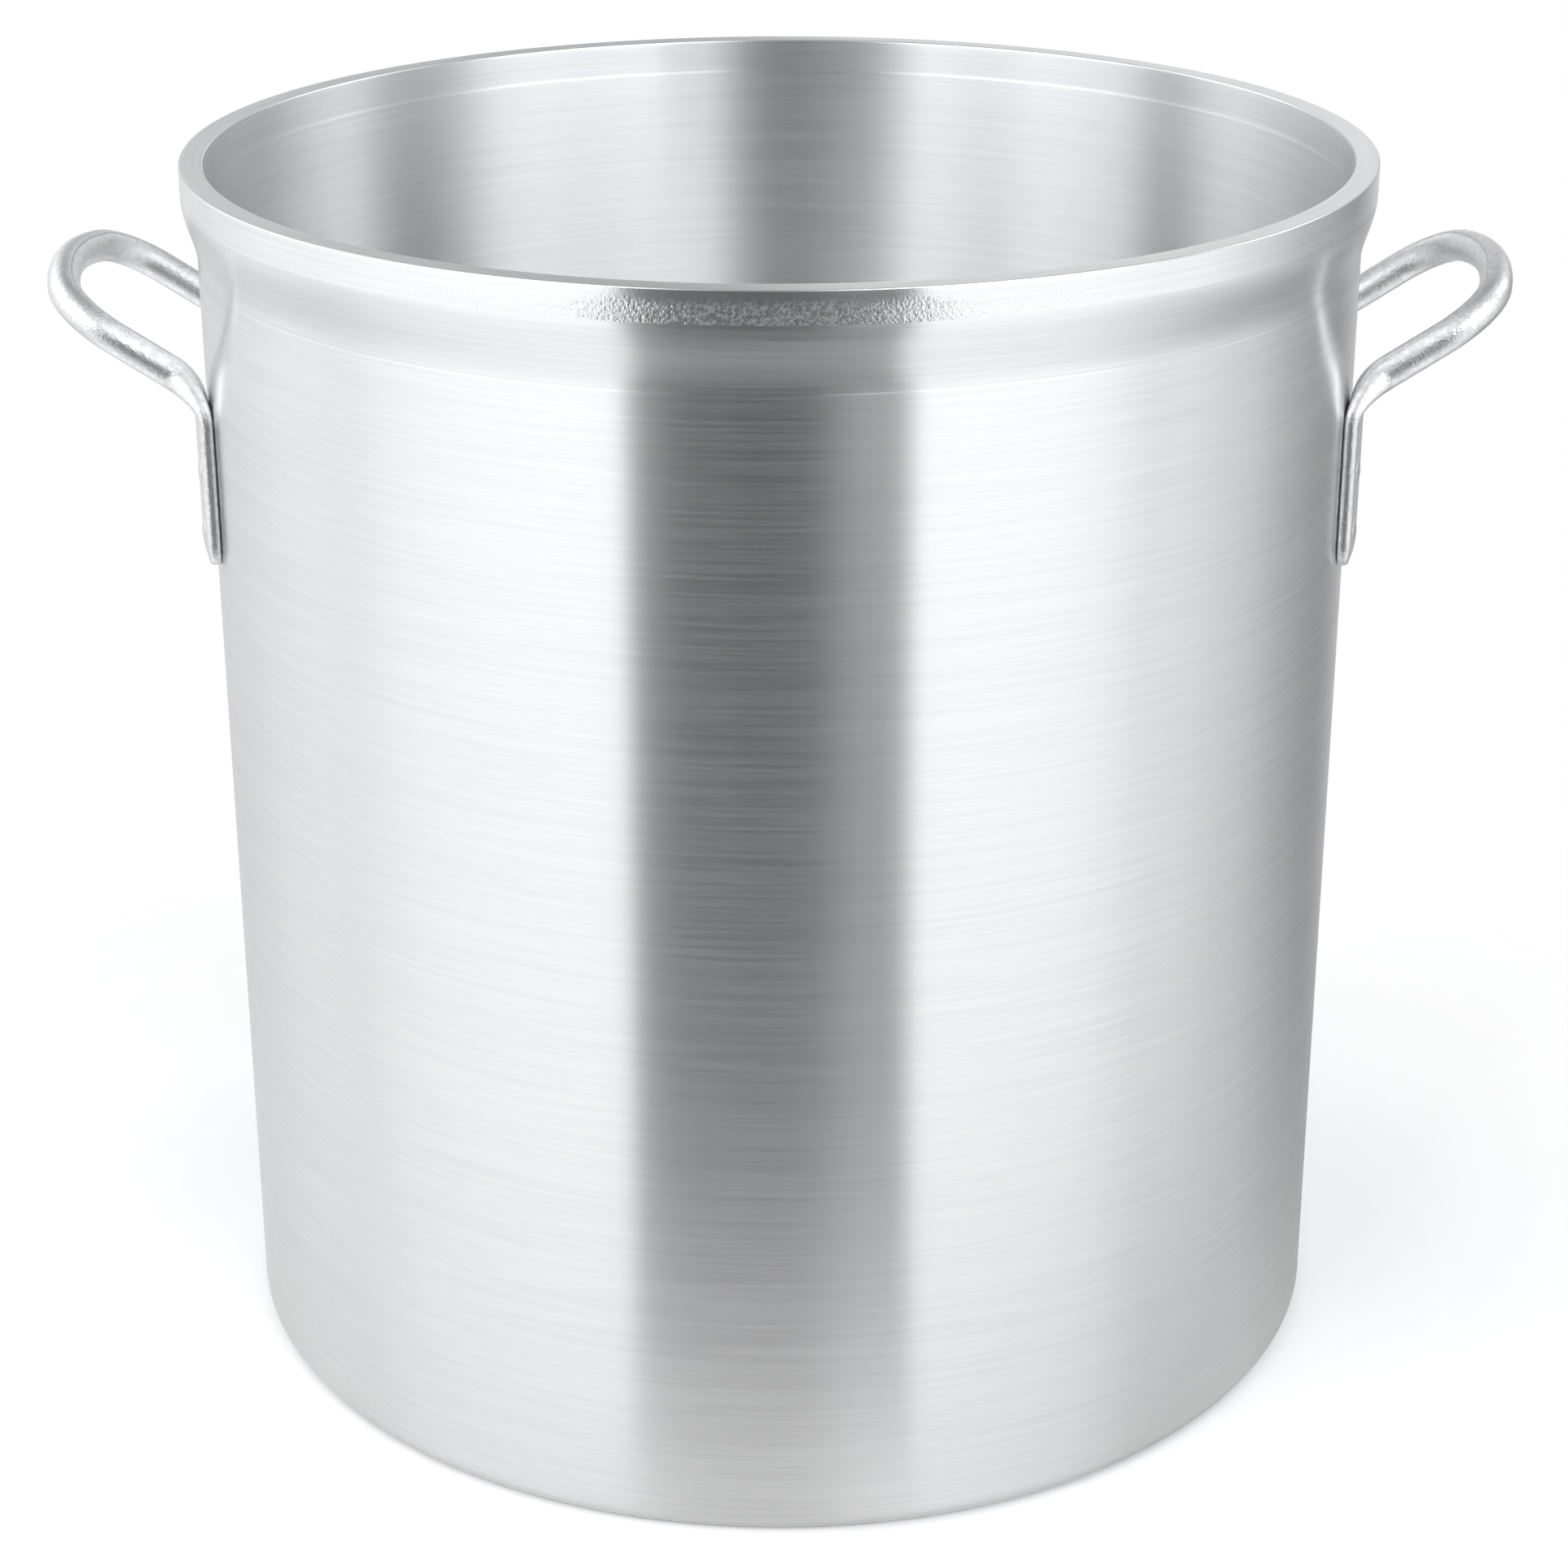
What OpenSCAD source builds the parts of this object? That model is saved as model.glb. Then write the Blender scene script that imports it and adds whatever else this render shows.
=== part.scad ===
// Heavy aluminium stock pot: a body with a thick flared rim, two bent rod handles and the
// eight rivets that hold them. Millimetres, +Z up, one handle on -X and the other on +X.
// The origin is the centre of the underside, on the surface that the pot stands on.

/* [Body] */
// Overall height, from the underside to the top of the rim
pot_h = 489; // [300:1:600]
// Inside diameter
bore_d = 445; // [350:1:600]
// Thickness of the side wall
wall_t = 4.5; // [3:0.5:6]
// Thickness of the base
base_t = 8; // [5:0.5:12]
// Outside radius where the base turns up into the wall
foot_r = 7; // [4:0.5:12]
// Inside radius where the base turns up into the wall
heel_r = 9; // [6:0.5:20]

/* [Rim] */
// Thickness of the rim, from the bore to its outer face
rim_t = 9.5; // [7.5:0.5:14]
// Height of the straight outer band below the top of the rim
band_h = 12; // [6:0.5:20]
// Depth below the top of the rim at which the flare has run out into the wall
flare_h = 36; // [24:1:60]
// Radius on the outer edge of the rim
rim_edge_r = 0.9; // [0.5:0.1:2.5]
// Radius on the inner edge of the rim
lip_edge_r = 0.8; // [0.4:0.1:2]
// Depth below the top of the rim down to which the bore is turned out
relief_h = 13; // [4:0.5:30]
// Depth by which the bore is turned out there
relief_deep = 0.3; // [0.1:0.1:1]
// Height of the relief groove turned where the flare ends
groove_h = 1.6; // [1:0.2:4]
// Depth of the relief groove
groove_deep = 0.2; // [0.1:0.1:0.8]

/* [Handles] */
// Diameter of the handle rod
rod_d = 12.7; // [10:0.1:14]
// Distance between the centre lines of a handle's two legs
leg_gap = 110; // [96:1:140]
// Angle of the grip above the horizontal
rise = 33; // [20:1:45]
// Distance from the wall to the centre line of the hand bar, at its middle
grip_reach = 54; // [50:1:70]
// Depth below the top of the rim to the centre line of the hand bar, at its middle
grip_drop = 46.5; // [46:0.5:60]
// Bend radius where a leg turns into the hand bar, on the centre line
grip_bend_r = 28; // [20:1:36]
// Angle through which each half of the hand bar bows outward
grip_bow = 16; // [6:1:30]
// Bend radius where a leg turns down to its tang, on the side that faces the wall
tang_bend_r = 28; // [20:1:34]

/* [Tangs and rivets] */
// Thickness of the flattened tang
tang_t = 5.3; // [4.5:0.1:7]
// Width of the flattened tang
tang_w = 20; // [16:0.5:26]
// Angle round the wall from a handle's middle to the middle of each tang
tang_angle = 15.5; // [13:0.1:18]
// Depth below the top of the rim to the rounded end of a tang
tang_end_drop = 152; // [148:0.5:175]
// Distance from the rounded end of a tang up to its lower rivet
rivet_from_end = 13; // [12:0.5:16]
// Distance between the two rivets of a tang
rivet_pitch = 24.5; // [18:0.5:26]
// Diameter of a rivet's shank
rivet_d = 6.4; // [5:0.1:8]
// Diameter of a rivet's low outer head
outer_head_d = 11; // [9:0.5:13]
// Height of a rivet's outer head
outer_head_h = 0.9; // [0.5:0.1:2]
// Diameter of a rivet's inner head
inner_head_d = 14; // [11:0.5:18]
// Height of a rivet's inner head
inner_head_h = 1.8; // [1.5:0.1:3]

/* [Hidden] */

$fn = 96;
// Steps in the flare's curve and in each rounded edge of the body's section
flare_steps = 12;
edge_steps = 6;
// Corners of the rod's faceted section, and steps along each bend, half bow and round end
ring_n = 20;
bend_steps = 8;
bow_steps = 3;
end_steps = 4;
// Facets on the big cylinder that hollows the back of the tangs
wall_fn = 720;
// Share of the relief groove's height that each of its sloping sides takes
groove_slope = 0.3;

bore_r = bore_d / 2;
// Radius of the turned-out top of the bore
relief_r = bore_r + relief_deep;
wall_r = bore_r + wall_t;
rim_r = bore_r + rim_t;
rod_r = rod_d / 2;

// The legs run parallel to X. The tangs face straight out from the pot's axis, so that they
// lie on the wall, a little further apart than the legs.
leg_y = leg_gap / 2;
bar_x = wall_r + grip_reach;
bar_z = pot_h - grip_drop;
// Radius of the hand bar's bow, which runs smoothly into the bend at each end
bow_r = (leg_y - grip_bend_r * (1 - sin(grip_bow))) / sin(grip_bow);
bend_turn = 90 - rise;
tang_end_z = pot_h - tang_end_drop;
// Depth by which the flat back of a tang is hollowed to sit on the round wall
seat = 0.25;
back_x = (wall_r - seat) * cos(tang_angle);
back_y = (wall_r - seat) * sin(tang_angle);
// Height at which the wall side of a leg, drawn straight down, would meet the tang's back,
// and the height at which the bend from the tang starts
corner_z = bar_z + rod_r * cos(rise) - (bar_x - rod_r * sin(rise) - back_x) * tan(rise);
tang_top_z = corner_z - tang_bend_r * tan(bend_turn / 2);

LEFT = 180;
RIGHT = 0;
FRONT = -1;
REAR = 1;
lower_rivet_z = tang_end_z + rivet_from_end;
upper_rivet_z = lower_rivet_z + rivet_pitch;
// The flat inner head bears on the round bore at its two sides
head_seat = sqrt(pow(bore_r, 2) - pow(inner_head_d / 2, 2));
// Radius of the outer head's dome, and half the angle that it spans
dome_r = (pow(outer_head_d / 2, 2) + pow(outer_head_h, 2)) / (2 * outer_head_h);
dome_angle = asin(outer_head_d / 2 / dome_r);

ALUMINIUM = [0.82, 0.83, 0.84];
ROD_ALUMINIUM = [0.78, 0.79, 0.8];
RIVET_ALUMINIUM = [0.7, 0.71, 0.72];

// Points on an arc about [x, y], from angle a0 to angle a1
function arc(x, y, r, a0, a1) =
    [for (i = [0:edge_steps]) let (a = a0 + (a1 - a0) * i / edge_steps) [x + r * cos(a), y + r * sin(a)]];

// 0 to 1 with level ends, for a flare that leaves both straight faces smoothly
function ease(t) = t * t * (3 - 2 * t);

function flare() =
    [for (i = [0:flare_steps]) let (t = i / flare_steps)
        [wall_r + (rim_r - wall_r) * ease(t), pot_h - flare_h + (flare_h - band_h) * t]];

// Half of the body's section, from the middle of the underside round to the middle of the
// inside of the base
function body_section() = concat(
    [[0, 0]],
    arc(wall_r - foot_r, foot_r, foot_r, -90, 0),
    [
        [wall_r, pot_h - flare_h - groove_h],
        [wall_r - groove_deep, pot_h - flare_h - groove_h * (1 - groove_slope)],
        [wall_r - groove_deep, pot_h - flare_h - groove_h * groove_slope]
    ],
    flare(),
    arc(rim_r - rim_edge_r, pot_h - rim_edge_r, rim_edge_r, 0, 90),
    arc(relief_r + lip_edge_r, pot_h - lip_edge_r, lip_edge_r, 90, 180),
    [
        [relief_r, pot_h - relief_h],
        [bore_r, pot_h - relief_h - relief_deep]
    ],
    arc(bore_r - heel_r, base_t + heel_r, heel_r, 0, -90),
    [[0, base_t]]
);

// Puts its children on a radial axis through one rivet: local +X points out of the pot
module at_rivet(side, end, z) {
    rotate([0, 0, side + (side == LEFT ? -end : end) * tang_angle])
        translate([0, 0, z])
            children();
}

// The shank of one rivet, or the hole for it
module shank(from_r, to_r) {
    translate([from_r, 0, 0])
        rotate([0, 90, 0])
            cylinder(d = rivet_d, h = to_r - from_r);
}

module all_rivet_holes() {
    for (side = [LEFT, RIGHT], end = [FRONT, REAR], z = [upper_rivet_z, lower_rivet_z])
        at_rivet(side, end, z)
            shank(bore_r - heel_r, rim_r + rim_t);
}

module pot_body() {
    color(ALUMINIUM)
        difference() {
            rotate_extrude()
                polygon(body_section());
            all_rivet_holes();
        }
}

// The rod is swept along stations, each [centre, normal, width direction, half thickness,
// half width]. The normal points away from the wall, and below the grip.

tang_a = (tang_t + seat) / 2;
tang_b = tang_w / 2;
// Share of its thickness that a tang keeps at the very end
end_thin = 0.6;

// A station on a tang, with its back on the wall at height z
function tang_station(z, a, b) =
    let (n = [cos(tang_angle), sin(tang_angle), 0])
        [[back_x, back_y, z] + a * n, n, [-n[1], n[0], 0], a, b];

// A station on the tang's round end, at the angle t round it from the tip
function end_station(t) = tang_station(
    tang_end_z + tang_b * (1 - cos(t)),
    tang_a * (end_thin + (1 - end_thin) * sin(t)),
    tang_a + (tang_b - tang_a) * sin(t)
);

// A station on the bend from tang to leg, after turning by the angle t: the rod swells from
// the flat tang to its round section, and untwists from facing the wall
function bend_station(t) = let (
    f = ease(t / bend_turn),
    a = tang_a + (rod_r - tang_a) * f,
    b = tang_b + (rod_r - tang_b) * f,
    twist = tang_angle * (1 - f),
    out = [cos(t), 0, -sin(t)],
    n = cos(twist) * out + [0, sin(twist), 0],
    w = -sin(twist) * out + [0, cos(twist), 0],
    back = [
        back_x + tang_bend_r * (1 - cos(t)),
        back_y + (leg_y - back_y) * f,
        tang_top_z + tang_bend_r * sin(t)
    ]
) [back + a * n, n, w, a, b];

// A station on the grip, after turning by the angle t from the leg: first on the bend, then
// on the hand bar's bow, which reaches its middle at a right angle
function grip_station(t) = let (
    along = [cos(rise), 0, sin(rise)],
    n = [sin(rise), 0, -cos(rise)],
    w = sin(t) * along + [0, cos(t), 0],
    bow_mid = [bar_x, 0, bar_z] - bow_r * along,
    bend_mid = bow_mid + (bow_r - grip_bend_r) * (cos(grip_bow) * along + [0, sin(grip_bow), 0]),
    on_bend = t < 90 - grip_bow
) [on_bend ? bend_mid + grip_bend_r * w : bow_mid + bow_r * w, n, w, rod_r, rod_r];

// Stations from the round end of the tang at +Y to just short of the hand bar's middle
function half_rod() = concat(
    [for (i = [0:end_steps]) end_station(90 * i / end_steps)],
    [for (i = [0:bend_steps]) bend_station(bend_turn * i / bend_steps)],
    [for (i = [0:bend_steps]) grip_station((90 - grip_bow) * i / bend_steps)],
    [for (i = [1:bow_steps]) grip_station(90 - grip_bow * (1 - i / (bow_steps + 0.5)))]
);

function mirrored(v) = [v[0], -v[1], v[2]];

function whole_rod() = let (half = half_rod(), last = len(half) - 1) concat(
    half,
    [for (i = [0:last]) let (s = half[last - i]) [mirrored(s[0]), mirrored(s[1]), mirrored(s[2]), s[3], s[4]]]
);

// The corners of one station's section: flat faces joined by half rounds, drawn round the
// true curve so that its flats touch it
function ring(s) = [for (k = [0:ring_n - 1]) let (
    t = 360 * (k + 0.5) / ring_n,
    round_r = s[3] / cos(180 / ring_n),
    half_flat = s[4] - s[3]
) s[0] + round_r * sin(t) * s[1] + (sign(cos(t)) * half_flat + round_r * cos(t)) * s[2]];

module rod() {
    stations = whole_rod();
    rings = len(stations);
    polyhedron(
        points = [for (s = stations) each ring(s)],
        faces = concat(
            [[for (k = [0:ring_n - 1]) k]],
            [for (i = [0:rings - 2], k = [0:ring_n - 1]) let (m = (k + 1) % ring_n)
                [i * ring_n + m, i * ring_n + k, (i + 1) * ring_n + k, (i + 1) * ring_n + m]],
            [[for (k = [0:ring_n - 1]) rings * ring_n - 1 - k]]
        )
    );
}

module handle() {
    color(ROD_ALUMINIUM)
        difference() {
            rod();
            cylinder(r = wall_r, h = pot_h, $fn = wall_fn);
            for (end = [FRONT, REAR], z = [upper_rivet_z, lower_rivet_z])
                at_rivet(RIGHT, end, z)
                    shank(wall_r - heel_r, rim_r + rim_t);
        }
}

module handle_left() {
    rotate([0, 0, LEFT])
        handle();
}

module handle_right() {
    handle();
}

// Half of a rivet's section, with X across it and Y along its axis, out of the pot: a flat
// inner head, a shank that fills its holes, and a low domed outer head on the tang
function rivet_section() = concat(
    [
        [0, head_seat - inner_head_h],
        [inner_head_d / 2 - inner_head_h / 2, head_seat - inner_head_h],
        [inner_head_d / 2, head_seat - inner_head_h / 2],
        [inner_head_d / 2, head_seat],
        [rivet_d / 2, head_seat],
        [rivet_d / 2, wall_r + tang_t]
    ],
    arc(0, wall_r + tang_t + outer_head_h - dome_r, dome_r, 90 - dome_angle, 90)
);

module rivet(side, end, z) {
    color(RIVET_ALUMINIUM)
        at_rivet(side, end, z)
            rotate([0, 90, 0])
                rotate_extrude()
                    polygon(rivet_section());
}

pot_body();
handle_left();
handle_right();
rivet(LEFT, FRONT, upper_rivet_z);  // rivet_left_front_upper
rivet(LEFT, FRONT, lower_rivet_z);  // rivet_left_front_lower
rivet(LEFT, REAR, upper_rivet_z);  // rivet_left_rear_upper
rivet(LEFT, REAR, lower_rivet_z);  // rivet_left_rear_lower
rivet(RIGHT, FRONT, upper_rivet_z);  // rivet_right_front_upper
rivet(RIGHT, FRONT, lower_rivet_z);  // rivet_right_front_lower
rivet(RIGHT, REAR, upper_rivet_z);  // rivet_right_rear_upper
rivet(RIGHT, REAR, lower_rivet_z);  // rivet_right_rear_lower
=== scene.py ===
"""A heavy aluminium stock pot with bent rod handles: turned, brushed and tumbled finishes. Metres."""

from math import asin, cos, pi, radians, sin, sqrt, tan

import bpy
from mathutils import Matrix, Vector


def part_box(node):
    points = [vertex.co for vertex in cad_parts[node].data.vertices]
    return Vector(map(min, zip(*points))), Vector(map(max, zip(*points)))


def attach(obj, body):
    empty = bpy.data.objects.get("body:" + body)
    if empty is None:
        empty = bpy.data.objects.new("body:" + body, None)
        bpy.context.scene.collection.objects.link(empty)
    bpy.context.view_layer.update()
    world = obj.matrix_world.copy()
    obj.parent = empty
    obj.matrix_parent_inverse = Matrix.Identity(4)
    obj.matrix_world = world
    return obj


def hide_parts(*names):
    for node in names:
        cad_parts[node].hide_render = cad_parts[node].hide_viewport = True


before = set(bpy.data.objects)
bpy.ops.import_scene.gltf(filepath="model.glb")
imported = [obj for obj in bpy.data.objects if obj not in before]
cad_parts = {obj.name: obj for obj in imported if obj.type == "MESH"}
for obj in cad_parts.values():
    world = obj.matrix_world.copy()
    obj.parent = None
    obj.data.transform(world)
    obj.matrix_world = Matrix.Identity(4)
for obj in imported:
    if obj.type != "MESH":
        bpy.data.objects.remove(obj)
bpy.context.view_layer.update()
MM = 0.001

# ---------------------------------------------------------------- sizes, from the frame and the design
POT_TOP_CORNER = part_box("pot_body")[1]
HEIGHT = POT_TOP_CORNER.z
RIM_R = POT_TOP_CORNER.x
RIM_T = 9.5 * MM
WALL_T = 4.5 * MM
BASE_T = 8 * MM
FOOT_R = 7 * MM
HEEL_R = 9 * MM
BAND_H = 12 * MM
FLARE_H = 36 * MM
RIM_EDGE_R = 0.6 * MM
LIP_EDGE_R = 0.8 * MM
# the top of the bore is turned out a little, and slopes back to the bore over the run
RELIEF_H = 13 * MM
RELIEF_DEEP = 0.15 * MM
RELIEF_RUN = 1.8 * MM
# the shallow groove where the flare ends
GROOVE_H = 1.6 * MM
GROOVE_DEEP = 0.06 * MM
BORE_R = RIM_R - RIM_T
RELIEF_R = BORE_R + RELIEF_DEEP
WALL_R = BORE_R + WALL_T

ROD_R = 6.35 * MM
LEG_Y = 55 * MM
RISE = radians(33)
GRIP_BEND_R = 28 * MM
GRIP_BOW = radians(16)
BOW_R = (LEG_Y - GRIP_BEND_R * (1 - sin(GRIP_BOW))) / sin(GRIP_BOW)
TANG_BEND_R = 28 * MM
TANG_T = 5.3 * MM
TANG_W = 20 * MM
TANG_ANGLE = radians(15.5)
SEAT = 0.25 * MM
BAR_X = WALL_R + 54 * MM
BAR_Z = HEIGHT - 46.5 * MM
TANG_END_Z = HEIGHT - 152 * MM
END_THIN = 0.6  # share of its thickness that a tang keeps at its very end

RIVET_ZS = {"lower": TANG_END_Z + 13 * MM, "upper": TANG_END_Z + 37.5 * MM}
SHANK_R = 3.2 * MM
OUTER_HEAD_R = 5.5 * MM
OUTER_HEAD_H = 0.9 * MM
INNER_HEAD_R = 7 * MM
INNER_HEAD_H = 1.8 * MM
INNER_EDGE_R = 0.8 * MM
INNER_EDGE_GAP = 0.15 * MM  # how far the head's flat stops short of its rounded edge

# ---------------------------------------------------------------- mesh helpers


def arc(x, y, r, a0, a1, steps=12):
    """Points on an arc about (x, y), from angle a0 to a1 in degrees."""
    angles = [radians(a0 + (a1 - a0) * i / steps) for i in range(steps + 1)]
    return [(x + r * cos(a), y + r * sin(a)) for a in angles]


def line(start, end, steps):
    """Points strictly between start and end."""
    return [tuple(a + (b - a) * i / steps for a, b in zip(start, end)) for i in range(1, steps)]


def ease(t):
    """0 to 1 with level ends."""
    return t * t * (3 - 2 * t)


def mesh_object(name, points, faces, materials, material_of=None):
    """A smooth-shaded object. material_of gives the place in materials for a face with a given centre."""
    mesh = bpy.data.meshes.new(name)
    mesh.from_pydata([tuple(p) for p in points], [], faces)
    for material in materials:
        mesh.materials.append(material)
    mesh.polygons.foreach_set("use_smooth", [True] * len(mesh.polygons))
    if material_of:
        mesh.polygons.foreach_set("material_index", [material_of(p.center) for p in mesh.polygons])
    mesh.update()
    piece = bpy.data.objects.new(name, mesh)
    bpy.context.scene.collection.objects.link(piece)
    return piece


def revolved(profile, steps):
    """Points and faces of a profile of (radius, height) turned about Z. It starts and ends on the axis."""
    inner = profile[1:-1]
    rows = len(inner)
    points = [(0, 0, profile[0][1]), (0, 0, profile[-1][1])]
    for k in range(steps):
        turn = 2 * pi * k / steps
        points += [(r * cos(turn), r * sin(turn), z) for r, z in inner]
    faces = []
    for k in range(steps):
        here, there = 2 + k * rows, 2 + (k + 1) % steps * rows
        faces.append((0, there, here))
        faces += [(here + i, there + i, there + i + 1, here + i + 1) for i in range(rows - 1)]
        faces.append((1, here + rows - 1, there + rows - 1))
    return points, faces


def own(piece, node):
    """The piece stands for a CAD node and moves with the one body."""
    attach(piece, "root")
    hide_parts(node)


# ---------------------------------------------------------------- materials


class Nodes:
    """A short way to add nodes to a material or the world."""

    def __init__(self, tree):
        self.tree = tree
        self.shader = tree.nodes.get("Principled BSDF")

    def add(self, kind, inputs=(), **settings):
        node = self.tree.nodes.new(kind)
        for key, value in settings.items():
            setattr(node, key, value)
        for key, value in dict(inputs).items():
            self.put(value, node.inputs[key])
        return node

    def put(self, value, socket):
        if isinstance(value, bpy.types.NodeSocket):
            self.tree.links.new(value, socket)
        else:
            socket.default_value = value

    def math(self, operation, *values, clamp=False):
        node = self.add("ShaderNodeMath", operation=operation, use_clamp=clamp)
        for value, socket in zip(values, node.inputs):
            self.put(value, socket)
        return node.outputs[0]

    def shared(self, first, share, second):
        """A sum that takes the given share of the first value and the rest of the second."""
        rest = self.math("MULTIPLY", second, 1 - share)
        return self.math("ADD", self.math("MULTIPLY", first, share), rest)

    def place(self):
        return self.add("ShaderNodeTexCoord").outputs["Object"]

    def scaled(self, vector, scale):
        return self.add("ShaderNodeVectorMath", {0: vector, 1: scale}, operation="MULTIPLY").outputs[0]

    def noise(self, vector, detail, rough):
        inputs = {"Vector": vector, "Scale": 1.0, "Detail": detail, "Roughness": rough}
        return self.add("ShaderNodeTexNoise", inputs).outputs["Fac"]

    def grain(self, cells, detail, rough):
        """Noise of the same fineness in every direction, in cells to a metre."""
        return self.noise(self.scaled(self.place(), (cells, cells, cells)), detail, rough)

    def remap(self, value, from_low, from_high, to_low, to_high):
        inputs = {0: value, 1: from_low, 2: from_high, 3: to_low, 4: to_high}
        return self.add("ShaderNodeMapRange", inputs, clamp=True).outputs[0]

    def mix(self, share, low, high):
        node = self.add("ShaderNodeMix", {0: share}, data_type="RGBA")
        self.put(low, node.inputs["A"])
        self.put(high, node.inputs["B"])
        return node.outputs["Result"]

    def bump(self, height, distance, normal=None):
        inputs = {"Height": height, "Distance": distance, "Strength": 1.0}
        if normal is not None:
            inputs["Normal"] = normal
        return self.add("ShaderNodeBump", inputs).outputs[0]


def new_material(name):
    material = bpy.data.materials.new(name)
    material.use_nodes = True
    return material, Nodes(material.node_tree)


ALUMINIUM = (0.83, 0.836, 0.845)
ALUMINIUM_DARK = (0.783, 0.788, 0.799)
SCRATCH_WHITE = (0.9, 0.9, 0.91, 1)
ROD_LIGHT = (0.9, 0.9, 0.905, 1)
ROD_DARK = (0.75, 0.752, 0.758, 1)

# turned marks, as how many cells of noise there are in a metre round the pot and along its profile
FINE_LINES = (12, 720)
MEDIUM_LINES = (6, 420)
BROAD_BANDS = (2.2, 95)
SCRATCHES = (30, 1300)
FINE_SHARE = 0.85  # of the lines' pattern, the rest being the medium lines
BROAD_SHARE = 0.05  # of the tone, the rest being the lines
LINE_ROUGHER = 0.006
LINE_METALLIC = 0.94  # how metallic the dullest lines are
GRAIN_TURN = 0.25  # turns the stretch of the mirror image across the lines

# dents and tones, in cells of noise to a metre
BAND_DIMPLES = 820
DIMPLED_HALF = (0.06, 0.13)  # how far from the middle the rim's dimples start to fade, and where they end
ROD_DENTS = 800
ROD_WAVES = 130
ROD_TONE = 420
ROD_ROUGH = 0.33


def lathe_vector(nodes, around, along):
    """Coordinates that run slowly round the pot, and fast along its turned profile."""
    parts = nodes.add("ShaderNodeSeparateXYZ", {0: nodes.place()})
    x, y, z = parts.outputs
    squares = nodes.math("ADD", nodes.math("MULTIPLY", x, x), nodes.math("MULTIPLY", y, y))
    radius = nodes.math("SQRT", squares)
    profile = nodes.math("ADD", z, radius)
    inputs = {
        0: nodes.math("MULTIPLY", x, around),
        1: nodes.math("MULTIPLY", y, around),
        2: nodes.math("MULTIPLY", profile, along),
    }
    return nodes.add("ShaderNodeCombineXYZ", inputs).outputs[0]


def turned_aluminium(name, rough, stretch, line_depth, painted_light_lift=0.0):
    """Aluminium turned on a lathe: fine lines round it, which blur what it mirrors along its profile."""
    material, nodes = new_material(name)
    fine = nodes.noise(lathe_vector(nodes, *FINE_LINES), 2, 0.6)
    medium = nodes.noise(lathe_vector(nodes, *MEDIUM_LINES), 3, 0.6)
    broad = nodes.noise(lathe_vector(nodes, *BROAD_BANDS), 2, 0.5)
    scratch = nodes.noise(lathe_vector(nodes, *SCRATCHES), 1, 0.5)
    lines = nodes.shared(fine, FINE_SHARE, medium)
    tone = nodes.shared(lines, 1 - BROAD_SHARE, broad)
    marks = nodes.remap(scratch, 0.66, 0.8, 0.0, 0.5)
    # painted light: the lift makes both tones lighter, so a surface looks more brightly lit than its lamps
    # make it
    dark, light = [(*[c + painted_light_lift for c in metal], 1) for metal in (ALUMINIUM_DARK, ALUMINIUM)]
    colour = nodes.mix(nodes.remap(tone, 0.36, 0.62, 0.0, 1.0), dark, light)
    shader = nodes.shader
    nodes.put(nodes.mix(marks, colour, SCRATCH_WHITE), shader.inputs["Base Color"])
    nodes.put(nodes.remap(lines, 0.38, 0.68, 1.0, LINE_METALLIC), shader.inputs["Metallic"])
    roughness = nodes.remap(lines, 0.35, 0.65, rough + LINE_ROUGHER, rough - LINE_ROUGHER)
    nodes.put(roughness, shader.inputs["Roughness"])
    nodes.put(stretch, shader.inputs["Anisotropic"])
    nodes.put(GRAIN_TURN, shader.inputs["Anisotropic Rotation"])
    tangent = nodes.add("ShaderNodeTangent", direction_type="RADIAL", axis="Z")
    nodes.put(tangent.outputs[0], shader.inputs["Tangent"])
    nodes.put(nodes.bump(lines, line_depth), shader.inputs["Normal"])
    return material


def rim_band_aluminium(name):
    """The rim's outer band: turned like the wall, with a fine orange peel below its turned upper edge."""
    # painted light: a lift of 0.05 lightens the band, where its dark reflection alone leaves it too dark
    material = turned_aluminium(name, 0.24, 0.9, 2.0e-6, painted_light_lift=0.05)
    nodes = Nodes(material.node_tree)
    across, _, height = nodes.add("ShaderNodeSeparateXYZ", {0: nodes.place()}).outputs
    below = nodes.remap(height, HEIGHT - 0.25 * BAND_H, HEIGHT - 0.5 * BAND_H, 0.1, 1.0)
    middle = nodes.remap(nodes.math("ABSOLUTE", across), *DIMPLED_HALF, 1.0, 0.1)
    below = nodes.math("MULTIPLY", below, middle)
    dimples = nodes.grain(BAND_DIMPLES, 2, 0.6)
    turned = nodes.shader.inputs["Normal"].links[0].from_socket
    relief = nodes.bump(nodes.math("MULTIPLY", dimples, below), 1.6e-4, turned)
    nodes.put(relief, nodes.shader.inputs["Normal"])
    dull = nodes.math("MULTIPLY", nodes.remap(dimples, 0.42, 0.64, 0.0, 0.2), below)
    nodes.put(nodes.math("SUBTRACT", 0.98, dull), nodes.shader.inputs["Metallic"])
    return material


def tumbled_aluminium(name):
    """Aluminium tumbled with stones: bright and soft, with fine dents all over."""
    material, nodes = new_material(name)
    dents = nodes.grain(ROD_DENTS, 3, 0.7)
    waves = nodes.grain(ROD_WAVES, 2, 0.5)
    tone = nodes.grain(ROD_TONE, 3, 0.65)
    colour = nodes.mix(nodes.remap(tone, 0.35, 0.65, 0.0, 1.0), ROD_DARK, ROD_LIGHT)
    nodes.put(colour, nodes.shader.inputs["Base Color"])
    nodes.put(1.0, nodes.shader.inputs["Metallic"])
    roughness = nodes.remap(tone, 0.35, 0.7, ROD_ROUGH + 0.05, ROD_ROUGH - 0.05)
    nodes.put(roughness, nodes.shader.inputs["Roughness"])
    relief = nodes.bump(waves, 1e-4)
    nodes.put(nodes.bump(dents, 2.8e-4, relief), nodes.shader.inputs["Normal"])
    return material


# ---------------------------------------------------------------- pot body

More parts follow.
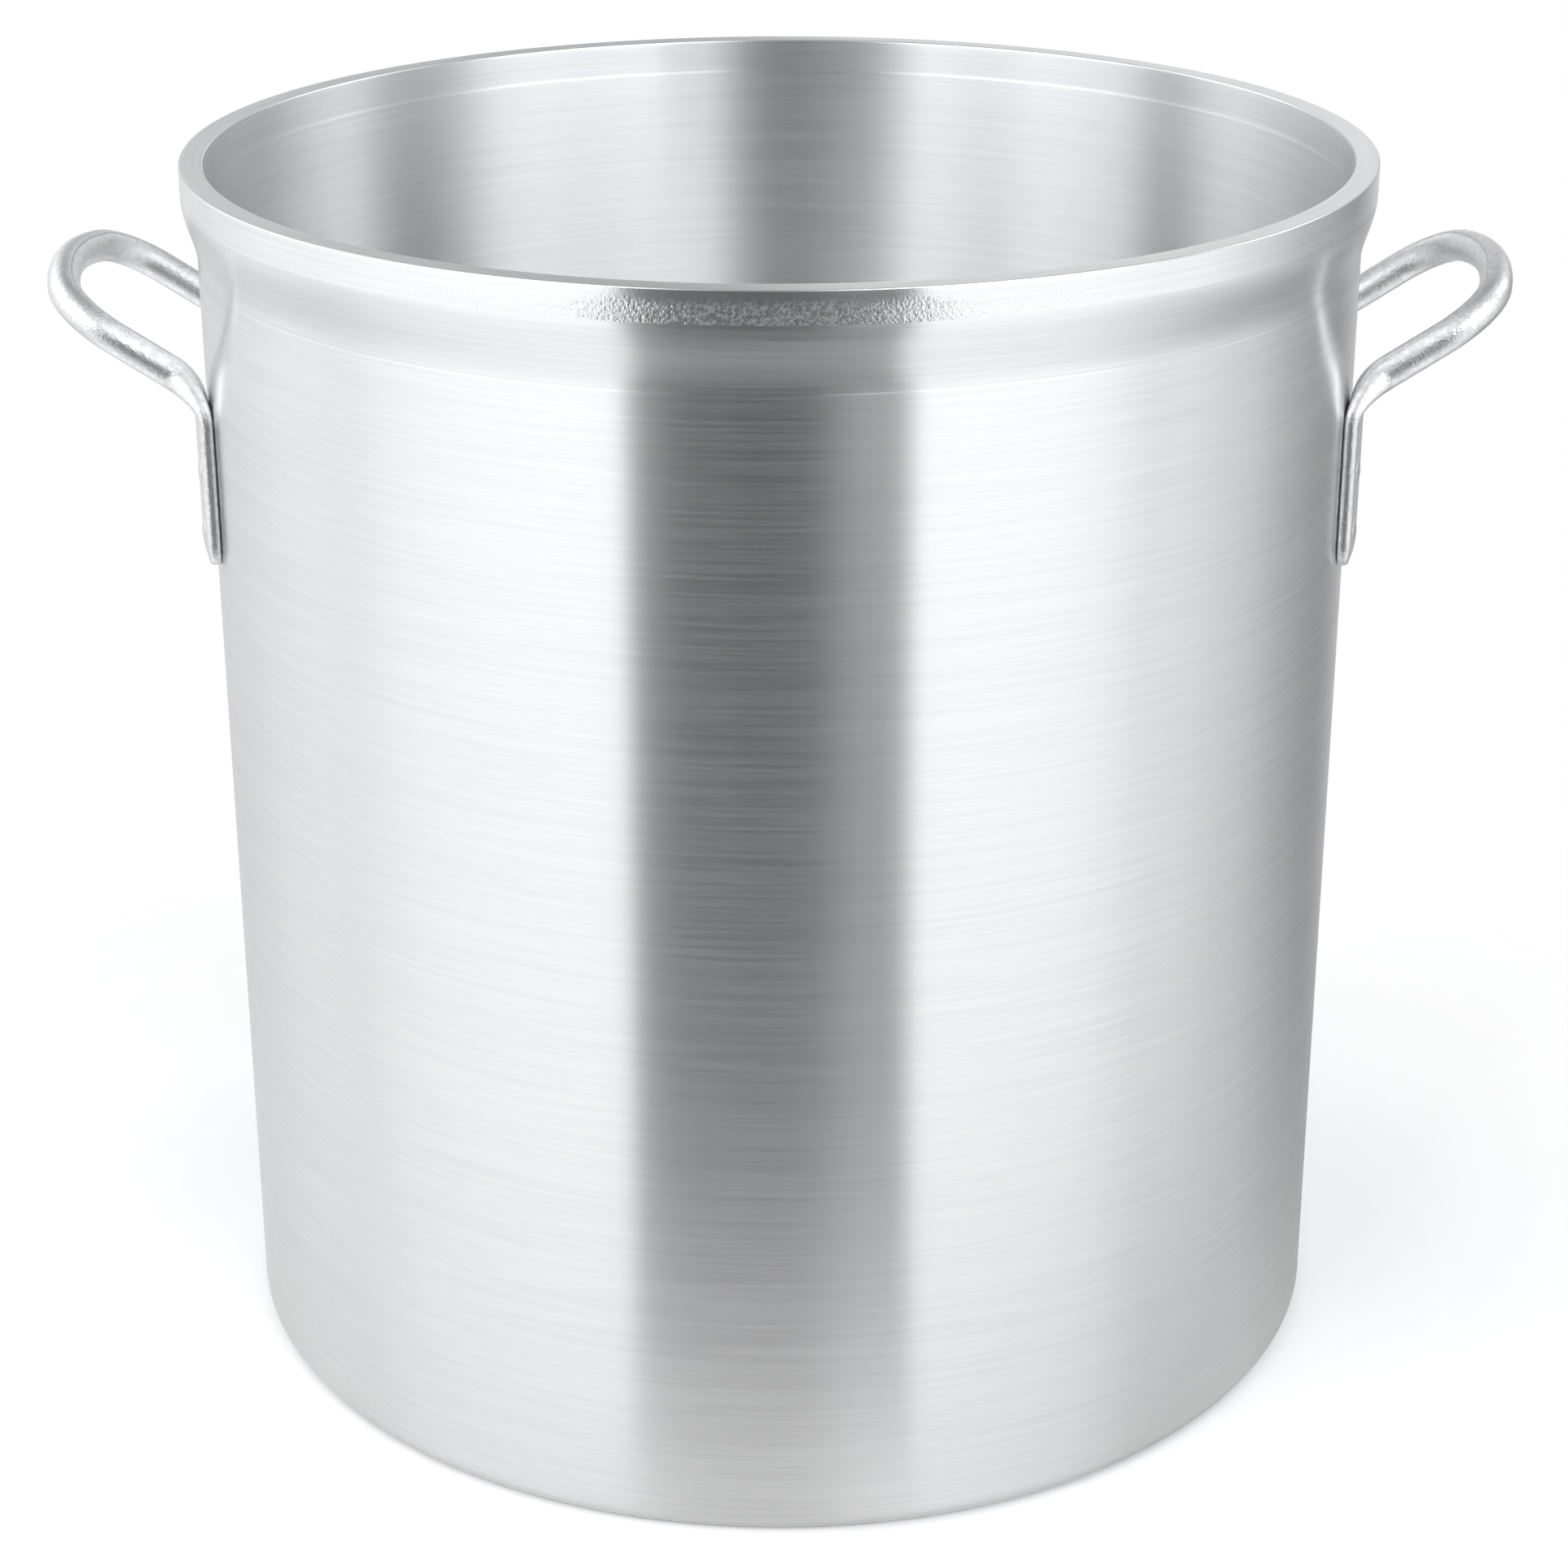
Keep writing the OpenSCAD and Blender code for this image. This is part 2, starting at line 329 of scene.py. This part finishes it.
BODY_TURNS = 384
FLARE_STEPS = 28
GROOVE_STEPS = 12
RELIEF_STEPS = 8
NEAR = 0.4 * MM  # how far below the groove its supporting ring stands


def flare_points():
    """The flare's curve, from the wall up to the rim's straight band."""
    shares = [i / FLARE_STEPS for i in range(FLARE_STEPS + 1)]
    rise = FLARE_H - BAND_H
    return [(WALL_R + (RIM_R - WALL_R) * ease(t), HEIGHT - FLARE_H + rise * t) for t in shares]


def body_profile():
    """From the middle of the underside, round the outside and the rim, to the middle of the inside."""
    groove_top = HEIGHT - FLARE_H
    groove_low = groove_top - GROOVE_H
    foot_in = (WALL_R - FOOT_R, 0)
    outside = [(0, 0)] + line((0, 0), foot_in, 24) + arc(WALL_R - FOOT_R, FOOT_R, FOOT_R, -90, 0, 18)
    outside += line((WALL_R, FOOT_R), (WALL_R, groove_low - NEAR), 40)
    outside += [(WALL_R, groove_low - NEAR)]
    for i in range(GROOVE_STEPS):
        deep = GROOVE_DEEP * (1 - cos(2 * pi * i / GROOVE_STEPS)) / 2
        outside.append((WALL_R - deep, groove_low + GROOVE_H * i / GROOVE_STEPS))
    rim = flare_points()
    rim += line(rim[-1], (RIM_R, HEIGHT - RIM_EDGE_R), 6)
    rim += arc(RIM_R - RIM_EDGE_R, HEIGHT - RIM_EDGE_R, RIM_EDGE_R, 0, 90, 8)
    rim += line((RIM_R - RIM_EDGE_R, HEIGHT), (RELIEF_R + LIP_EDGE_R, HEIGHT), 5)
    rim += arc(RELIEF_R + LIP_EDGE_R, HEIGHT - LIP_EDGE_R, LIP_EDGE_R, 90, 180, 6)
    relief = (RELIEF_R, HEIGHT - RELIEF_H)
    rim += line(rim[-1], relief, 6)
    shares = [i / RELIEF_STEPS for i in range(RELIEF_STEPS + 1)]
    rim += [(RELIEF_R - RELIEF_DEEP * ease(t), relief[1] - RELIEF_RUN * t) for t in shares]
    inside = line(rim[-1], (BORE_R, BASE_T + HEEL_R), 44)
    inside += arc(BORE_R - HEEL_R, BASE_T + HEEL_R, HEEL_R, 0, -90, 16)
    inside += line((BORE_R - HEEL_R, BASE_T), (0, BASE_T), 24)
    return outside + rim + inside + [(0, BASE_T)]


WALL, RIM_BAND, RIM_TOP, INSIDE, BASE = range(5)
FLAT = 1e-5  # a face whose centre is lower than this is the underside
SKIN = 1.2 * MM  # how far inside the wall's radius a face still counts as outside


def body_finish(centre):
    """Which finish a face of the body has, by where it lies."""
    radius = sqrt(centre.x ** 2 + centre.y ** 2)
    if centre.z < FLAT:
        return BASE
    if centre.z > HEIGHT - LIP_EDGE_R * 0.6 and radius > BORE_R:
        return RIM_TOP
    if radius > WALL_R - SKIN:
        return RIM_BAND if centre.z > HEIGHT - BAND_H else WALL
    return INSIDE


def make_body():
    points, faces = revolved(body_profile(), BODY_TURNS)
    finishes = [
        turned_aluminium("brushed_wall", 0.285, 1.0, 0.8e-6),
        rim_band_aluminium("rim_band"),
        turned_aluminium("turned_rim_top", 0.3, 0.6, 1.5e-6),
        # painted light: the inside's colour is lifted by 0.1 over the same aluminium, standing in for light
        # bouncing in the pot
        turned_aluminium("turned_inside", 0.33, 1.0, 1.0e-6, painted_light_lift=0.1),
        turned_aluminium("turned_base", 0.36, 0.8, 3e-6),
    ]
    own(mesh_object("body", points, faces, finishes, body_finish), "pot_body")


# ---------------------------------------------------------------- handles

BEND_TURN = pi / 2 - RISE
BACK_X = (WALL_R - SEAT) * cos(TANG_ANGLE)
BACK_Y = (WALL_R - SEAT) * sin(TANG_ANGLE)
CORNER_Z = BAR_Z + ROD_R * cos(RISE) - (BAR_X - ROD_R * sin(RISE) - BACK_X) * tan(RISE)
TANG_TOP_Z = CORNER_Z - TANG_BEND_R * tan(BEND_TURN / 2)
TANG_A = (TANG_T + SEAT) / 2
TANG_B = TANG_W / 2
ROUND_STEPS = 24  # on each half round of the rod's section
FLAT_STEPS = 10  # on each flat of a tang's section


def tang_station(z, a, b):
    """A section of the tang: its centre, normal, width direction, half thickness and half width."""
    n = Vector((cos(TANG_ANGLE), sin(TANG_ANGLE), 0))
    return Vector((BACK_X, BACK_Y, z)) + a * n, n, Vector((-n.y, n.x, 0)), a, b


def end_station(t):
    a = TANG_A * (END_THIN + (1 - END_THIN) * sin(t))
    return tang_station(TANG_END_Z + TANG_B * (1 - cos(t)), a, TANG_A + (TANG_B - TANG_A) * sin(t))


def bend_station(t):
    """Turned by t on the bend from tang to leg: the rod swells to its round section and untwists."""
    f = ease(t / BEND_TURN)
    a, b = TANG_A + (ROD_R - TANG_A) * f, TANG_B + (ROD_R - TANG_B) * f
    twist = TANG_ANGLE * (1 - f)
    out, side = Vector((cos(t), 0, -sin(t))), Vector((0, 1, 0))
    n = cos(twist) * out + sin(twist) * side
    w = -sin(twist) * out + cos(twist) * side
    back = Vector((
        BACK_X + TANG_BEND_R * (1 - cos(t)),
        BACK_Y + (LEG_Y - BACK_Y) * f,
        TANG_TOP_Z + TANG_BEND_R * sin(t),
    ))
    return back + a * n, n, w, a, b


def grip_station(t):
    """Turned by t from the leg: first on the bend, then on the hand bar's bow."""
    along, side = Vector((cos(RISE), 0, sin(RISE))), Vector((0, 1, 0))
    w = sin(t) * along + cos(t) * side
    middle, radius = Vector((BAR_X, 0, BAR_Z)) - BOW_R * along, BOW_R
    if t < pi / 2 - GRIP_BOW:
        middle += (BOW_R - GRIP_BEND_R) * (cos(GRIP_BOW) * along + sin(GRIP_BOW) * side)
        radius = GRIP_BEND_R
    return middle + radius * w, Vector((sin(RISE), 0, -cos(RISE))), w, ROD_R, ROD_R


def between(first, last, steps):
    """Sections strictly between two, on a straight stretch."""
    return [tuple(a + (b - a) * i / steps for a, b in zip(first, last)) for i in range(1, steps)]


def rod_sections():
    """Every section from one tang's round end to the other's."""
    end = [end_station(pi / 2 * (i / 14) ** 1.3) for i in range(15)]
    bend = [bend_station(BEND_TURN * i / 30) for i in range(31)]
    grip = [grip_station((pi / 2 - GRIP_BOW) * i / 20) for i in range(21)]
    bow = [grip_station(pi / 2 - GRIP_BOW * (1 - i / 10.5)) for i in range(1, 11)]
    half = end + between(end[-1], bend[0], 26) + bend + between(bend[-1], grip[0], 10) + grip + bow
    flip = Matrix.Diagonal((1, -1, 1))
    other = [(flip @ c, flip @ n, flip @ w, a, b) for c, n, w, a, b in reversed(half)]
    return half + other


def section_ring(section):
    """The section's outline: two flats joined by half rounds, hollowed where it lies on the wall."""
    centre, n, w, a, b = section
    flat = b - a
    outline = []
    for side in (1, -1):
        turns = [pi * (i / ROUND_STEPS - 0.5) for i in range(ROUND_STEPS + 1)]
        outline += [(side * (flat + a * cos(t)), side * a * sin(t)) for t in turns]
        start, end = outline[-1], (-side * flat, side * a)
        outline += line(start, end, FLAT_STEPS)
    points = [centre + across * w + out * n for across, out in outline]
    for p in points:
        radius = sqrt(p.x ** 2 + p.y ** 2)
        if radius < WALL_R:
            p.x, p.y = p.x * WALL_R / radius, p.y * WALL_R / radius
    return points


def make_handle(side, finish):
    rings = [section_ring(s) for s in rod_sections()]
    size = len(rings[0])
    points = [p for ring in rings for p in ring]
    faces = [
        (i * size + k, i * size + (k + 1) % size, (i + 1) * size + (k + 1) % size, (i + 1) * size + k)
        for i in range(len(rings) - 1)
        for k in range(size)
    ]
    faces.append(tuple(reversed(range(size))))
    faces.append(tuple((len(rings) - 1) * size + k for k in range(size)))
    if side == "left":
        points = [Vector((-p.x, -p.y, p.z)) for p in points]
    name = "handle_" + side
    own(mesh_object("rod_" + side, points, faces, [finish]), name)


# ---------------------------------------------------------------- rivets

RIVET_TURNS = 48
DOME_STEPS = 12


def rivet_profile():
    """Across the rivet and along its axis, out of the pot: inner head, shank and low outer head."""
    seat = sqrt(BORE_R ** 2 - INNER_HEAD_R ** 2)
    face = seat - INNER_HEAD_H
    tang_face = WALL_R + TANG_T
    head_out = sqrt(OUTER_HEAD_R ** 2 + OUTER_HEAD_H ** 2)
    dome_r = head_out ** 2 / (2 * OUTER_HEAD_H)
    dome_z = tang_face + OUTER_HEAD_H - dome_r
    half_dome = asin(OUTER_HEAD_R / dome_r)
    profile = [(0, face)] + line((0, face), (INNER_HEAD_R - INNER_EDGE_R - INNER_EDGE_GAP, face), 6)
    profile += arc(INNER_HEAD_R - INNER_EDGE_R, face + INNER_EDGE_R, INNER_EDGE_R, -90, 0, 8)
    profile += [(INNER_HEAD_R, seat), (SHANK_R, seat)]
    profile += line((SHANK_R, seat), (SHANK_R, tang_face), 8) + [(SHANK_R, tang_face)]
    dome = [half_dome * (1 - i / DOME_STEPS) for i in range(DOME_STEPS + 1)]
    return profile + [(dome_r * sin(t), dome_z + dome_r * cos(t)) for t in dome]


def make_rivet(side, end, level, finish):
    points, faces = revolved(rivet_profile(), RIVET_TURNS)
    turn = {"right": 0, "left": pi}[side] + TANG_ANGLE * (1 if (end == "rear") == (side == "right") else -1)
    place = (
        Matrix.Translation((0, 0, RIVET_ZS[level]))
        @ Matrix.Rotation(turn, 4, "Z")
        @ Matrix.Rotation(pi / 2, 4, "Y")
    )
    name = f"{side}_{end}_{level}"
    piece = mesh_object("rivet_head_" + name, [place @ Vector(p) for p in points], faces, [finish])
    own(piece, "rivet_" + name)


# ---------------------------------------------------------------- studio

CAMERA_AZIMUTH = radians(0.6)
CAMERA_OUT = 1.3326
CAMERA_UP = 0.7682
CAMERA_PITCH = radians(22.44)
CAMERA_YAW = radians(0.057)
CAMERA_ROLL = radians(-0.135)
LENS_MM = 78.61
SENSOR_MM = 36

FLOOR_R = 0.65
FLOOR_SOLID_R = 0.29
FLOOR_FADE = 1.6  # how much faster than evenly the floor fades out at first
FLOOR_CORNERS = 128
FLOOR_GRAIN = 60
FLOOR_SEEN = ((0.93, 0.93, 0.93, 1), (0.95, 0.95, 0.95, 1))
# the floor's colour as the pot mirrors it, a painted shade darker than the floor is seen; and the same on
# the +X side, painted darker still as the shade of the darker room there
FLOOR_MIRRORED = (0.67, 0.663, 0.65, 1)
FLOOR_PAINTED_SHADE_RIGHT = (0.44, 0.436, 0.428, 1)
LAMP_SIZE = 3.0
LAMP_UP = 2.6
LAMP_WATTS = 12

# how much of a grey each colour channel takes, and how much is then taken off it: shadows are the bluer
STUDIO_TINT = ((0.985, 0.007), (0.99, 0.005), (1.0, 0.0))
TOP_LIGHT = 0.5
# how far up a direction points, from -1 straight down to 1, where one ring of light turns into the next
GROUND_TO_LOW = (-0.6, -0.25)
LOW_TO_HIGH = (0.25, 0.45)
HIGH_TO_TOP = (0.85, 0.97)
# (direction in degrees from the front, positive towards +X; brightness there), near the floor's level
LOW_LIGHT = [
    (-180, 0.5),
    (-165, 0.75),
    (-135, 0.88),
    (-112, 1.04),
    (-80, 1.15),
    (-32, 1.16),
    (-31, 1.3),
    (-29.1, 1.3),
    (-28.3, 0.03),
    (-24.5, 0.03),
    (-22, 0.085),
    (-13, 0.085),
    (-10.5, 0.13),
    (-8, 0.085),
    (8, 0.085),
    (10.5, 0.13),
    (13, 0.085),
    (18.5, 0.085),
    (20.5, 0.02),
    (25.6, 0.02),
    (26.3, 1.35),
    (28.4, 1.35),
    (29.4, 1.16),
    (85, 1.14),
    (100, 0.84),
    (115, 0.52),
    (140, 0.3),
    (180, 0.35),
]
# the same, as seen steeply down past the floor's edge
GROUND_LIGHT = [
    (-180, 0.35),
    (-150, 0.5),
    (-112, 0.68),
    (-80, 0.81),
    (-29.3, 0.84),
    (-28, 0.18),
    (-8, 0.17),
    (23.9, 0.18),
    (25.2, 0.84),
    (60, 0.82),
    (85, 0.66),
    (100, 0.45),
    (115, 0.3),
    (140, 0.2),
    (180, 0.25),
]
# the same, well above the pot
HIGH_LIGHT = [
    (-180, 0.42),
    (-165, 0.42),
    (-152, 1.2),
    (-135, 2.5),
    (-105, 2.9),
    (-102, 0.8),
    (-91, 0.9),
    (-86, 3.5),
    (-60, 4.3),
    (-28, 4.3),
    (-23, 0.6),
    (-10, 0.3),
    (6, 0.3),
    (10, 0.8),
    (16, 4.3),
    (71, 4.3),
    (77, 0.08),
    (100, 0.08),
    (108, 3.4),
    (120, 3.4),
    (140, 1.3),
    (160, 0.42),
    (180, 0.42),
]


def make_camera():
    data = bpy.data.cameras.new("camera")
    data.lens, data.sensor_width = LENS_MM, SENSOR_MM
    camera = bpy.data.objects.new("camera", data)
    camera.matrix_world = (
        Matrix.Rotation(CAMERA_AZIMUTH, 4, "Z")
        @ Matrix.Translation((0, -CAMERA_OUT, CAMERA_UP))
        @ Matrix.Rotation(-CAMERA_YAW, 4, "Z")
        @ Matrix.Rotation(pi / 2 - CAMERA_PITCH, 4, "X")
        @ Matrix.Rotation(CAMERA_ROLL, 4, "Z")
    )
    bpy.context.scene.collection.objects.link(camera)
    bpy.context.scene.camera = camera


def make_floor():
    """A round white table top whose edge melts into the white of the room."""
    material, nodes = new_material("floor_white")
    place = nodes.place()
    seen = nodes.mix(nodes.grain(FLOOR_GRAIN, 3, 0.5), *FLOOR_SEEN)
    side = nodes.add("ShaderNodeSeparateXYZ", {0: place}).outputs[0]
    # painted shade: in the pot's mirror and in bounced light the floor is darker than the camera sees it,
    # and darker again towards +X
    painted_shade = nodes.mix(nodes.remap(side, 0.05, 0.35, 0, 1), FLOOR_MIRRORED, FLOOR_PAINTED_SHADE_RIGHT)
    camera_ray = nodes.add("ShaderNodeLightPath").outputs["Is Camera Ray"]
    nodes.put(nodes.mix(camera_ray, painted_shade, seen), nodes.shader.inputs["Base Color"])
    nodes.put(0.9, nodes.shader.inputs["Roughness"])
    nodes.put(0.0, nodes.shader.inputs["Specular IOR Level"])
    distance = nodes.add("ShaderNodeVectorMath", {0: place}, operation="LENGTH").outputs["Value"]
    fade = nodes.remap(distance, FLOOR_SOLID_R, FLOOR_R, 1, 0)
    nodes.put(nodes.math("POWER", fade, FLOOR_FADE), nodes.shader.inputs["Alpha"])
    turns = [2 * pi * k / FLOOR_CORNERS for k in range(FLOOR_CORNERS)]
    edge = [(FLOOR_R * cos(t), FLOOR_R * sin(t), 0) for t in turns]
    floor = mesh_object("floor", edge, [tuple(range(FLOOR_CORNERS))], [material])


def light_ring(nodes, turn, stops):
    """The light round the room at one height, from (direction in degrees, brightness) pairs."""
    ramp = nodes.add("ShaderNodeValToRGB", {0: nodes.remap(turn, -180, 180, 0, 1)})
    elements = ramp.color_ramp.elements
    for place, grey in stops:
        elements.new((place + 180) / 360).color = (*[grey * t - d for t, d in STUDIO_TINT], 1)
    elements.remove(elements[0])
    elements.remove(elements[-1])
    return ramp.outputs[0]


def make_studio_light():
    """The room's light by direction: a dark gap in front, softboxes at the sides, brighter ones above."""
    world = bpy.data.worlds.new("studio")
    world.use_nodes = True
    bpy.context.scene.world = world
    nodes = Nodes(world.node_tree)
    direction = nodes.add("ShaderNodeTexCoord").outputs["Generated"]
    x, y, z = nodes.add("ShaderNodeSeparateXYZ", {0: direction}).outputs
    turn = nodes.math("MULTIPLY", nodes.math("ARCTAN2", x, nodes.math("MULTIPLY", y, -1.0)), 180 / pi)
    drawn_in = nodes.math("MULTIPLY", turn, nodes.remap(z, -0.85, -0.6, 0.74, 1.0))
    ground = light_ring(nodes, drawn_in, GROUND_LIGHT)
    ground = nodes.scaled(ground, nodes.remap(z, -0.85, -0.65, 1.9, 1.0))
    low = nodes.mix(nodes.remap(z, *GROUND_TO_LOW, 0, 1), ground, light_ring(nodes, turn, LOW_LIGHT))
    high = nodes.scaled(light_ring(nodes, turn, HIGH_LIGHT), nodes.remap(z, 0.45, 0.8, 1.0, 0.35))
    ring = nodes.mix(nodes.remap(z, *LOW_TO_HIGH, 0, 1), low, high)
    studio = nodes.mix(nodes.remap(z, *HIGH_TO_TOP, 0, 1), ring, (TOP_LIGHT, TOP_LIGHT, TOP_LIGHT, 1))
    seen = nodes.add("ShaderNodeLightPath").outputs["Is Camera Ray"]
    background = nodes.tree.nodes["Background"]
    nodes.put(nodes.mix(seen, studio, (1, 1, 1, 1)), background.inputs[0])
    nodes.put(1.0, background.inputs[1])


def make_floor_light():
    """A big soft panel overhead that only the floor takes notice of."""
    data = bpy.data.lights.new("overhead", "AREA")
    data.shape = "DISK"
    data.size = LAMP_SIZE
    data.energy = LAMP_WATTS
    lamp = bpy.data.objects.new("overhead", data)
    lamp.location = (0, 0, LAMP_UP)
    lamp.visible_glossy = False
    lamp.visible_camera = False
    bpy.context.scene.collection.objects.link(lamp)


rod_finish = tumbled_aluminium("tumbled_rod")
rivet_finish = tumbled_aluminium("satin_rivet")

make_camera()
make_studio_light()
make_floor_light()
make_floor()
make_body()
for side in ("left", "right"):
    make_handle(side, rod_finish)
    for end in ("front", "rear"):
        for level in ("upper", "lower"):
            make_rivet(side, end, level, rivet_finish)

bpy.context.scene.view_settings.view_transform = "Standard"
